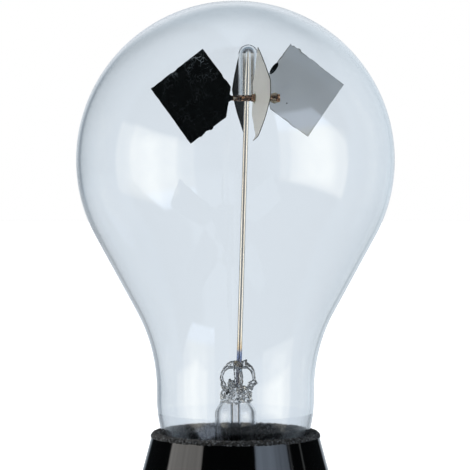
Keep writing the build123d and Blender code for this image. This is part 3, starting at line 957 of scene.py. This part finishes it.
def build_claw():
    """The press, its four rods and the closed top, melted together and full of folds."""
    rng = random.Random(4)
    low = press_low.z + PRESS_GAP
    bead = (bead_low + bead_high) / 2
    body = soften([(0, low), (3.86 * MM, low)], 1)
    body += soften([
        (3.86 * MM, low), (3.75 * MM, low + 1.2 * MM), (3.75 * MM, low + 2.4 * MM),
        (2.9 * MM, low + 3.6 * MM), (1.2 * MM, low + 4.0 * MM), (0, low + 3.6 * MM),
    ], 2)
    parts = [lathe(body, 48)]
    parts += [claw_rod(number, rng) for number in range(4)]
    for _ in range(34):
        azimuth, out = rng.uniform(0, tau), rng.uniform(1.6, 3.35) * MM
        size = Vector((rng.uniform(0.45, 0.85), rng.uniform(0.45, 0.85), rng.uniform(0.4, 1.3))) * MM
        top = (43.4 - 0.8 * cos(azimuth)) * MM
        place = Vector((out * cos(azimuth) + 0.3 * MM, out * sin(azimuth), rng.uniform(low + 0.5 * MM, top)))
        parts.append(blob(place, size))
    crown = Vector((bead.x, bead.y, bead.z))
    parts.append(blob(crown - Vector((0, 0, 0.5 * MM)), Vector((1.25, 1.2, 0.95)) * MM))
    for x, y, z, size in (
        (1.25, -0.3, 0.35, 0.62), (1.75, -0.2, 0.85, 0.34), (-1.25, 0.2, 0.1, 0.6), (-0.2, 0.9, 0.1, 0.7),
    ):
        parts.append(blob(crown + Vector((x, y, z)) * MM, Vector((1, 1, 1)) * size * MM))
    skin, faces = melted("claw", parts, CLAW_VOXEL)
    points = []
    for place, normal in skin:
        fold = blend_step(low, low + 0.6 * MM, place.z)
        deep = 1 - blend_step(43.6 * MM, 45.2 * MM, place.z)
        lump = abs(wobble(place, 1.7 * MM, 1)) + 0.12 * abs(wobble(place, 0.8 * MM, 2)) - 0.2
        bend = Vector([wobble(place, 2.2 * MM, seed) for seed in (11, 12, 13)])
        points.append(place + fold * (0.2 * MM * bend + (0.15 + 1.2 * deep) * MM * lump * normal))
    piece(
        "claw_glass", points, faces, "stand", STEM_GLASS,
        ["stem_press", *[f"claw_arm_{n}" for n in range(1, 5)]],
    )
    parts = [blob(crown + Vector((-0.75, -0.75, 0.2)) * MM, Vector((0.62, 0.5, 0.6)) * MM)]
    parts.append(blob(crown + Vector((-0.2, -0.9, -0.1)) * MM, Vector((0.4, 0.35, 0.4)) * MM))
    skin, faces = melted("frit", parts, FRIT_VOXEL)
    points = [place + 0.06 * MM * wobble(place, 0.3 * MM) * normal for place, normal in skin]
    piece("frit_bead", points, faces, "stand", FRIT, ["needle_bead"])


# ---- foam ring
MOUTH_RADIUS = 19.6 * MM


def build_foam():
    """A ring of coarse flocked foam, its grains modelled."""
    crest_r = collar_high.x - 1.1 * MM
    section = arc(crest_r, rim_z, 1.0 * MM, -5, 90, 12)
    section += [(crest_r - 1.2 * MM * t / 8, rim_z + 1.0 * MM - 0.3 * MM * (t / 8) ** 2) for t in range(1, 9)]
    inner = []
    for i in range(1, 22):
        z = rim_z + 0.7 * MM - 5.5 * MM * i / 21
        inner.append((neck_radius(z) + 0.12 * MM, z))
    floor_z = collar_low.z
    mouth = MOUTH_RADIUS - 0.02 * MM
    outer = [(mouth, floor_z + (rim_z - floor_z) * t / 8) for t in range(0, 9)]
    profile = section + inner + outer
    segments = 720
    points, faces = lathe(profile, segments, closed=True)
    for point in points:
        out = Vector((point.x, point.y, 0)).normalized()
        exposed = blend_step(rim_z - 1.0 * MM, rim_z + 0.3 * MM, point.z)
        near = noise.voronoi(point / FOAM_GRAIN)[0][0]
        bead = max(1 - (1.5 * near) ** 2, -0.6) + 0.5 * wobble(point, 0.3 * MM, 4)
        away = (point - out * crest_r - Vector((0, 0, rim_z))).normalized()
        point += away * 0.27 * MM * bead * exposed
    piece("foam_ring", points, faces, "stand", FOAM, ["foam_collar"])


def neck_radius(z):
    """The bulb's outer radius in its closing round."""
    return NECK - ROUNDING + sqrt(ROUNDING**2 - (ROUND_TOP_Z - z) ** 2)


# ---- camera, light and floor
def build_camera():
    """At the rotor's height, a little above the bulb's middle, looking slightly down."""
    lens = bpy.data.cameras.new("camera")
    lens.lens = 220
    lens.sensor_width = 36
    lens.clip_start = 0.01
    camera = bpy.data.objects.new("camera", lens)
    bpy.context.scene.collection.objects.link(camera)
    camera.location = (-0.12 * MM, -722 * MM, 115 * MM)
    aim = Vector((-0.12 * MM, 0, 81.2 * MM)) - camera.location
    camera.rotation_euler = aim.to_track_quat("-Z", "Y").to_euler()
    bpy.context.scene.camera = camera


BACKDROP = (0.77, 0.83, 0.895)
AROUND = (  # colour of the studio wall by azimuth, from -Y towards +X
    (-172, BACKDROP), (-158, (0.36, 0.42, 0.48)), (-110, (0.33, 0.39, 0.45)), (-42, (0.38, 0.445, 0.51)),
    (-18, (0.20, 0.22, 0.24)), (14, (0.22, 0.24, 0.26)), (30, (0.36, 0.40, 0.44)),
    (42, (0.38, 0.445, 0.51)), (118, (0.40, 0.46, 0.52)),
    (136, (0.58, 0.66, 0.74)), (158, (0.62, 0.70, 0.78)), (172, BACKDROP),
)
OVERHEAD = (0.19, 0.255, 0.32)
FRONT_OVERHEAD = (0.03, 0.035, 0.04)
UNDER = (0.42, 0.46, 0.50)
SHADOW = (0.16, 0.18, 0.20)  # left of the bulb
GLEAM = (0.70, 0.80, 0.88)  # right of it
FILL = (1.95, 1.92, 1.84)  # a sheet at the left that lights matt surfaces only
TOP_SHADE = (0.60, 0.66, 0.715)  # behind the bulb's crown
CEILING = (0.42, 0.46, 0.51)  # over the camera, in what the rotor mirrors
LEFT_BOX = (-96, -43)
RIGHT_BOX = (32, 88)
BOX_EDGE = (1.12, 1.08, 0.98)
BOX_CORE = (1.95, 1.85, 1.58)
BOX_TOP = (1.68, 1.90, 2.28)  # cooler light near the upper edge
BASE_DARK = (0.012, 0.014, 0.016)
BASE_LIGHTS = (
    (-97, -46, (2.15, 2.1, 2.03)), (27, 75, (1.85, 2.2, 2.7)), (77.5, 79, (1.5, 1.6, 1.7)),
    (98, 99.5, (1.4, 1.5, 1.5)),
)


def build_world():
    """A studio painted by direction: pale backdrop, dimmer sides and two soft boxes in front.

    It isn't one consistent room: light path masks show each kind of ray its own. The camera
    sees plain white. A ray straight through the bulb sees the pale backdrop from every side,
    and one through the thick glass of stem and claw sees dark strips. The bulb's outer face
    mirrors a shadow and a gleam made for it, the rotor a bright ceiling, and the polished base
    its own lit bands in a dark room. Matt surfaces get an extra fill from the left.
    """
    world = bpy.data.worlds.new("studio")
    world.use_nodes = True
    bpy.context.scene.world = world
    paint = Paint.__new__(Paint)
    paint.tree = world.node_tree
    paint.place = paint.add("ShaderNodeTexCoord").outputs["Generated"]
    x, y, z = paint.axes()
    azimuth = paint.times(paint.math("ARCTAN2", x, paint.times(y, -1)), 180 / pi)
    height = paint.times(paint.math("ARCSINE", z), 180 / pi)
    turned = paint.math("ABSOLUTE", azimuth)

    def both(*masks):
        mask = masks[0]
        for other in masks[1:]:
            mask = paint.times(mask, other)
        return mask

    def window(low, high, value, soft=2):
        up = paint.span(value, low - soft, low + soft, smooth=True)
        return both(up, paint.span(value, high - soft, high + soft, 1.0, 0.0, smooth=True))

    def without(mask):
        return paint.minus(1.0, mask)

    def beyond(start, slope, sign=1):
        """How far the height is over (or under) an edge that slopes with azimuth past a place."""
        beside = paint.minus(paint.times(azimuth, sign), start)
        past = paint.math("MAXIMUM", beside, 0.0)
        return paint.times(past, slope)

    wall = paint.ramp(paint.span(azimuth, -180, 180), *[((a + 180) / 360, colour) for a, colour in AROUND])
    studio = paint.mix(paint.span(height, -4, -16, smooth=True), wall, UNDER)
    studio = paint.mix(paint.span(turned, 158, 172, smooth=True), studio, BACKDROP)
    studio = paint.mix(paint.span(height, 22, 40, smooth=True), studio, OVERHEAD)
    front = paint.span(turned, 88, 100, 1.0, 0.0, smooth=True)
    studio = paint.mix(both(front, paint.span(height, 8, 15, smooth=True)), studio, FRONT_OVERHEAD)

    path = paint.add("ShaderNodeLightPath").outputs
    bent = paint.math("GREATER_THAN", paint.math("ADD", path["Glossy Depth"], path["Diffuse Depth"]), 0.5)
    outermost = paint.math("LESS_THAN", path["Transmission Depth"], 0.5)
    clear = both(outermost, path["Is Glossy Ray"], path["Is Singular Ray"])
    polished = both(outermost, path["Is Glossy Ray"], without(path["Is Singular Ray"]))
    studio = paint.mix(both(clear, window(-156, -97, azimuth, 4), window(-6, 80, height, 3)), studio, SHADOW)
    studio = paint.mix(both(clear, window(112, 166, azimuth, 6), window(-30, 40, height, 6)), studio, GLEAM)
    ceiling = both(without(outermost), window(0, 50, azimuth, 5), paint.span(height, 5, 12, smooth=True))
    studio = paint.mix(ceiling, studio, CEILING)

    matt = paint.math("GREATER_THAN", path["Diffuse Depth"], 0.5)
    studio = paint.mix(both(matt, window(-135, -40, azimuth, 8), window(-30, 60, height, 8)), studio, FILL)

    cloud = paint.span(paint.noise(5.0, detail=4.0), 0.35, 0.65, 0.86, 1.04)
    tops = (
        paint.minus(19.0, beyond(-75, 0.1)), paint.minus(33.0, beyond(66, 1.05)),
    )
    floors = (
        paint.math("ADD", -28.0, paint.math("ADD", beyond(-60, 0.4), beyond(60, 0.36, -1))),
        paint.minus(-13.0, beyond(36, 0.15)),
    )
    for (low, high), top, bottom, trim in zip((LEFT_BOX, RIGHT_BOX), tops, floors, (5, 3)):
        over = paint.minus(height, bottom)
        under = paint.minus(top, height)
        lit = both(window(low, high, azimuth, 1.5), paint.span(over, -1.5, 1.5), paint.span(under, -1.5, 1.5))
        inside = both(paint.span(over, 1, 5), paint.span(under, trim - 3, trim + 3))
        core = both(window(low + 12, high - 14, azimuth, 6), inside)
        light = paint.mix(both(core, cloud), BOX_EDGE, BOX_CORE)
        light = paint.mix(paint.span(height, 18, 24, smooth=True), light, BOX_TOP)
        studio = paint.mix(both(lit, cloud), studio, light)

    wrap = paint.add("ShaderNodeCombineXYZ")
    paint.link(azimuth, wrap.inputs["X"])
    paint.link(paint.times(height, 0.06), wrap.inputs["Y"])
    curtain = paint.noise(0.35, detail=5.0, roughness=0.7, place=wrap.outputs["Vector"])
    folds = paint.span(curtain, 0.3, 0.7, 0.7, 1.12)
    room = paint.mix(window(-154, 154, azimuth, 4), studio, BASE_DARK)
    for low, high, light in BASE_LIGHTS:
        fade = paint.span(azimuth, 45, 78, 1.0, 0.5)
        lit = both(window(low, high, azimuth, 1.2), window(-12, 34, height), folds, fade)
        room = paint.mix(lit, room, light)
    studio = paint.mix(polished, studio, room)

    straight = both(path["Is Transmission Ray"], without(bent))
    thick = paint.math("GREATER_THAN", path["Transmission Depth"], 4.5)
    strip = paint.math("ABSOLUTE", paint.math("WRAP", azimuth, 22.5, -22.5))
    gap = both(paint.span(strip, 4.5, 9, 1.0, 0.0), window(-30, 8, height, 5))
    level = window(-1.5, 2.5, height, 0.8)
    thick = both(thick, paint.span(level, 0, 1, 1.0, 0.3))
    dim = paint.mix(paint.span(height, 8, 30), (0.02, 0.022, 0.025), (0.16, 0.18, 0.2))
    backdrop = paint.mix(paint.span(height, 3.4, 6.8, smooth=True), BACKDROP, TOP_SHADE)
    seen = paint.mix(straight, studio, paint.mix(both(thick, without(gap)), backdrop, dim))
    seen = paint.mix(path["Is Camera Ray"], seen, (1.0, 1.0, 1.0))
    paint.link(seen, paint.tree.nodes["Background"].inputs["Color"])


def build_floor():
    """A large pale floor. Glass and gloss see the painted studio instead of it."""
    points, faces = lathe([(0, -0.05 * MM), (2.0, -0.05 * MM)], 64)
    mesh = bpy.data.meshes.new("floor")
    mesh.from_pydata([tuple(p) for p in points], [], faces)
    floor = bpy.data.objects.new("floor", mesh)
    bpy.context.scene.collection.objects.link(floor)
    paint = Paint("pale_floor", roughness=0.9, base_color=(0.86, 0.87, 0.88, 1))
    paint.colour(paint.mix(paint.noise(3.0), (0.86, 0.87, 0.88), (0.88, 0.89, 0.90)))
    lift = paint.times(paint.add("ShaderNodeLightPath").outputs["Is Camera Ray"], 0.88)
    paint.shader.inputs["Emission Color"].default_value = (1, 1, 1, 1)
    paint.link(lift, paint.shader.inputs["Emission Strength"])
    mesh.materials.append(paint.material)
    floor.visible_glossy = False
    floor.visible_transmission = False


# ---- build everything
def paint_node(material, *names):
    for name in names:
        slots = frame["nodes"][name].data.materials
        slots.clear()
        slots.append(material)


paint_node(GLOSS_BLACK, "base_shell")
paint_node(CEMENT, "cement_ring")
paint_node(PLATE, "bottom_plate")
paint_node(SCREW, "plate_screws")
paint_node(FELT, "felt_pad")

build_bulb()
for number in range(len(VANES)):
    build_vane(number)
    build_arm(number)
build_glue()
build_hub_band()
build_cap()
build_needle()
build_stem()
build_claw()
build_foam()
build_camera()
build_world()
build_floor()
bpy.context.scene.view_settings.view_transform = "Standard"
